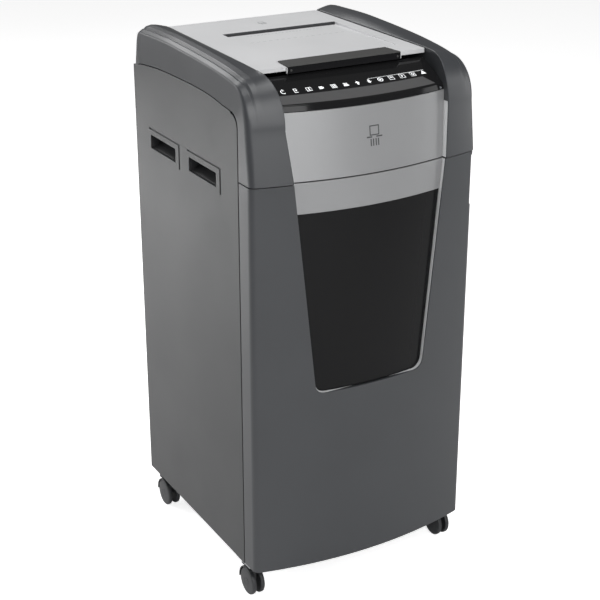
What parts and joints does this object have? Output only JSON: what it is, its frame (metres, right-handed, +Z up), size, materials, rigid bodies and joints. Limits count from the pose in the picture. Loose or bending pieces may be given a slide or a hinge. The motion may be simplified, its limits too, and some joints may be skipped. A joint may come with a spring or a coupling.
{
  "type": "paper shredder",
  "caption": "Tall office paper shredder on twin-wheel casters, with a hinged front door and window, a lifting feed lid, feed rollers, meshed cutters and a waste bin.",
  "frame": {"origin": "on the floor, under the middle of the machine's box", "axes": "+Z up, -Y towards the front with the door and control panel, +X to the machine's right seen from the front"},
  "size_m": [0.43, 0.47, 0.951],
  "materials": {
    "shell_grey": "fine-grained moulded plastic",
    "shell_dark": "fine-grained moulded plastic",
    "silver": "satin silver paint",
    "gloss_black": "polished",
    "window_black": "smoked and polished",
    "inner_grey": "moulded",
    "steel": "bare",
    "rubber": "matt",
    "wheel_rubber": "hard nylon tread",
    "caster_grey": "moulded nylon",
    "board_green": "solder mask",
    "led_white": "clear dome"
  },
  "bodies": {
    "cabinet": {"base_pan": "steel", "rear_panel": "shell_dark", "rear_vent": "inner_grey", "head_floor": "inner_grey", "waste_bin": "inner_grey", "side_panel_left": "shell_grey", "side_panel_right": "shell_grey", "grip_cup_left_front": "shell_grey", "grip_cup_left_rear": "shell_grey", "grip_cup_right_front": "shell_grey", "grip_cup_right_rear": "shell_grey", "hinge_bracket": "steel", "door_pin_lower": "steel", "door_pin_upper": "steel", "mains_inlet": "inner_grey", "switch_frame": "inner_grey", "head_cover": "shell_dark", "head_fascia": "silver", "control_panel": "gloss_black", "status_led": "led_white", "control_board": "board_green", "feed_tray": "inner_grey", "lid_pin_left": "steel", "lid_pin_right": "steel", "frame_plate_left": "steel", "frame_plate_right": "steel", "stripper_comb_front": "steel", "stripper_comb_rear": "steel", "gearbox": "inner_grey", "motor": "steel", "feed_belt": "rubber"},
    "lid": {"feed_lid": "silver", "lid_tab": "shell_dark", "slot_guide": "inner_grey"},
    "door": {"door_panel": "shell_dark", "door_trim": "silver", "door_window": "window_black"},
    "rocker": {"power_rocker": "gloss_black"},
    "cutter_a": {"cutter_front": "steel", "cutter_gear_front": "steel", "drive_pulley": "inner_grey"},
    "cutter_b": {"cutter_rear": "steel", "cutter_gear_rear": "steel"},
    "pinion": {"drive_pinion": "steel"},
    "feed_rollers": {"feed_shaft": "steel", "feed_roller_left": "rubber", "feed_roller_right": "rubber", "feed_pulley": "inner_grey"},
    "caster_front_left": {"caster_housing_front_left": "caster_grey"},
    "wheels_front_left": {"wheel_outer_front_left": "wheel_rubber", "wheel_inner_front_left": "wheel_rubber"},
    "caster_front_right": {"caster_housing_front_right": "caster_grey"},
    "wheels_front_right": {"wheel_outer_front_right": "wheel_rubber", "wheel_inner_front_right": "wheel_rubber"},
    "caster_rear_left": {"caster_housing_rear_left": "caster_grey"},
    "wheels_rear_left": {"wheel_outer_rear_left": "wheel_rubber", "wheel_inner_rear_left": "wheel_rubber"},
    "caster_rear_right": {"caster_housing_rear_right": "caster_grey"},
    "wheels_rear_right": {"wheel_outer_rear_right": "wheel_rubber", "wheel_inner_rear_right": "wheel_rubber"}
  },
  "joints": [
    {"name": "lid_hinge", "type": "hinge", "parent": "cabinet", "child": "lid", "pos_m": [0, 0.217, 0.9363], "axis": [-1, 0, 0], "range_deg": [0, 70]},
    {"name": "door_hinge", "type": "hinge", "parent": "cabinet", "child": "door", "pos_m": [-0.207, -0.173, 0.4], "axis": [0, 0, -1], "range_deg": [0, 95]},
    {"name": "rocker_tilt", "type": "hinge", "parent": "cabinet", "child": "rocker", "pos_m": [0.176, 0.221, 0.121], "axis": [1, 0, 0], "range_deg": [-6, 6]},
    {"name": "cutter_a_spin", "type": "hinge", "parent": "cabinet", "child": "cutter_a", "pos_m": [0, 0.095, 0.8], "axis": [1, 0, 0], "continuous": true},
    {"name": "cutter_b_spin", "type": "hinge", "parent": "cabinet", "child": "cutter_b", "pos_m": [0, 0.141, 0.8], "axis": [1, 0, 0], "continuous": true},
    {"name": "pinion_spin", "type": "hinge", "parent": "cabinet", "child": "pinion", "pos_m": [0.157, 0.1755, 0.8], "axis": [1, 0, 0], "continuous": true},
    {"name": "feed_spin", "type": "hinge", "parent": "cabinet", "child": "feed_rollers", "pos_m": [0, 0.06, 0.872], "axis": [1, 0, 0], "continuous": true},
    {"name": "caster_swivel_front_left", "type": "hinge", "parent": "cabinet", "child": "caster_front_left", "pos_m": [-0.1985, -0.146, 0.057], "axis": [0, 0, 1], "continuous": true},
    {"name": "wheel_spin_front_left", "type": "hinge", "parent": "caster_front_left", "child": "wheels_front_left", "pos_m": [-0.1985, -0.164, 0.025], "axis": [1, 0, 0], "continuous": true},
    {"name": "caster_swivel_front_right", "type": "hinge", "parent": "cabinet", "child": "caster_front_right", "pos_m": [0.1985, -0.146, 0.057], "axis": [0, 0, 1], "continuous": true},
    {"name": "wheel_spin_front_right", "type": "hinge", "parent": "caster_front_right", "child": "wheels_front_right", "pos_m": [0.1985, -0.164, 0.025], "axis": [1, 0, 0], "continuous": true},
    {"name": "caster_swivel_rear_left", "type": "hinge", "parent": "cabinet", "child": "caster_rear_left", "pos_m": [-0.1985, 0.206, 0.057], "axis": [0, 0, 1], "continuous": true},
    {"name": "wheel_spin_rear_left", "type": "hinge", "parent": "caster_rear_left", "child": "wheels_rear_left", "pos_m": [-0.1985, 0.188, 0.025], "axis": [1, 0, 0], "continuous": true},
    {"name": "caster_swivel_rear_right", "type": "hinge", "parent": "cabinet", "child": "caster_rear_right", "pos_m": [0.1985, 0.206, 0.057], "axis": [0, 0, 1], "continuous": true},
    {"name": "wheel_spin_rear_right", "type": "hinge", "parent": "caster_rear_right", "child": "wheels_rear_right", "pos_m": [0.1985, 0.188, 0.025], "axis": [1, 0, 0], "continuous": true}
  ],
  "couplings": [
    {"joint": "cutter_b_spin", "follows": "cutter_a_spin", "ratio": -1},
    {"joint": "pinion_spin", "follows": "cutter_a_spin", "ratio": 2},
    {"joint": "feed_spin", "follows": "cutter_a_spin", "ratio": 1}
  ]
}
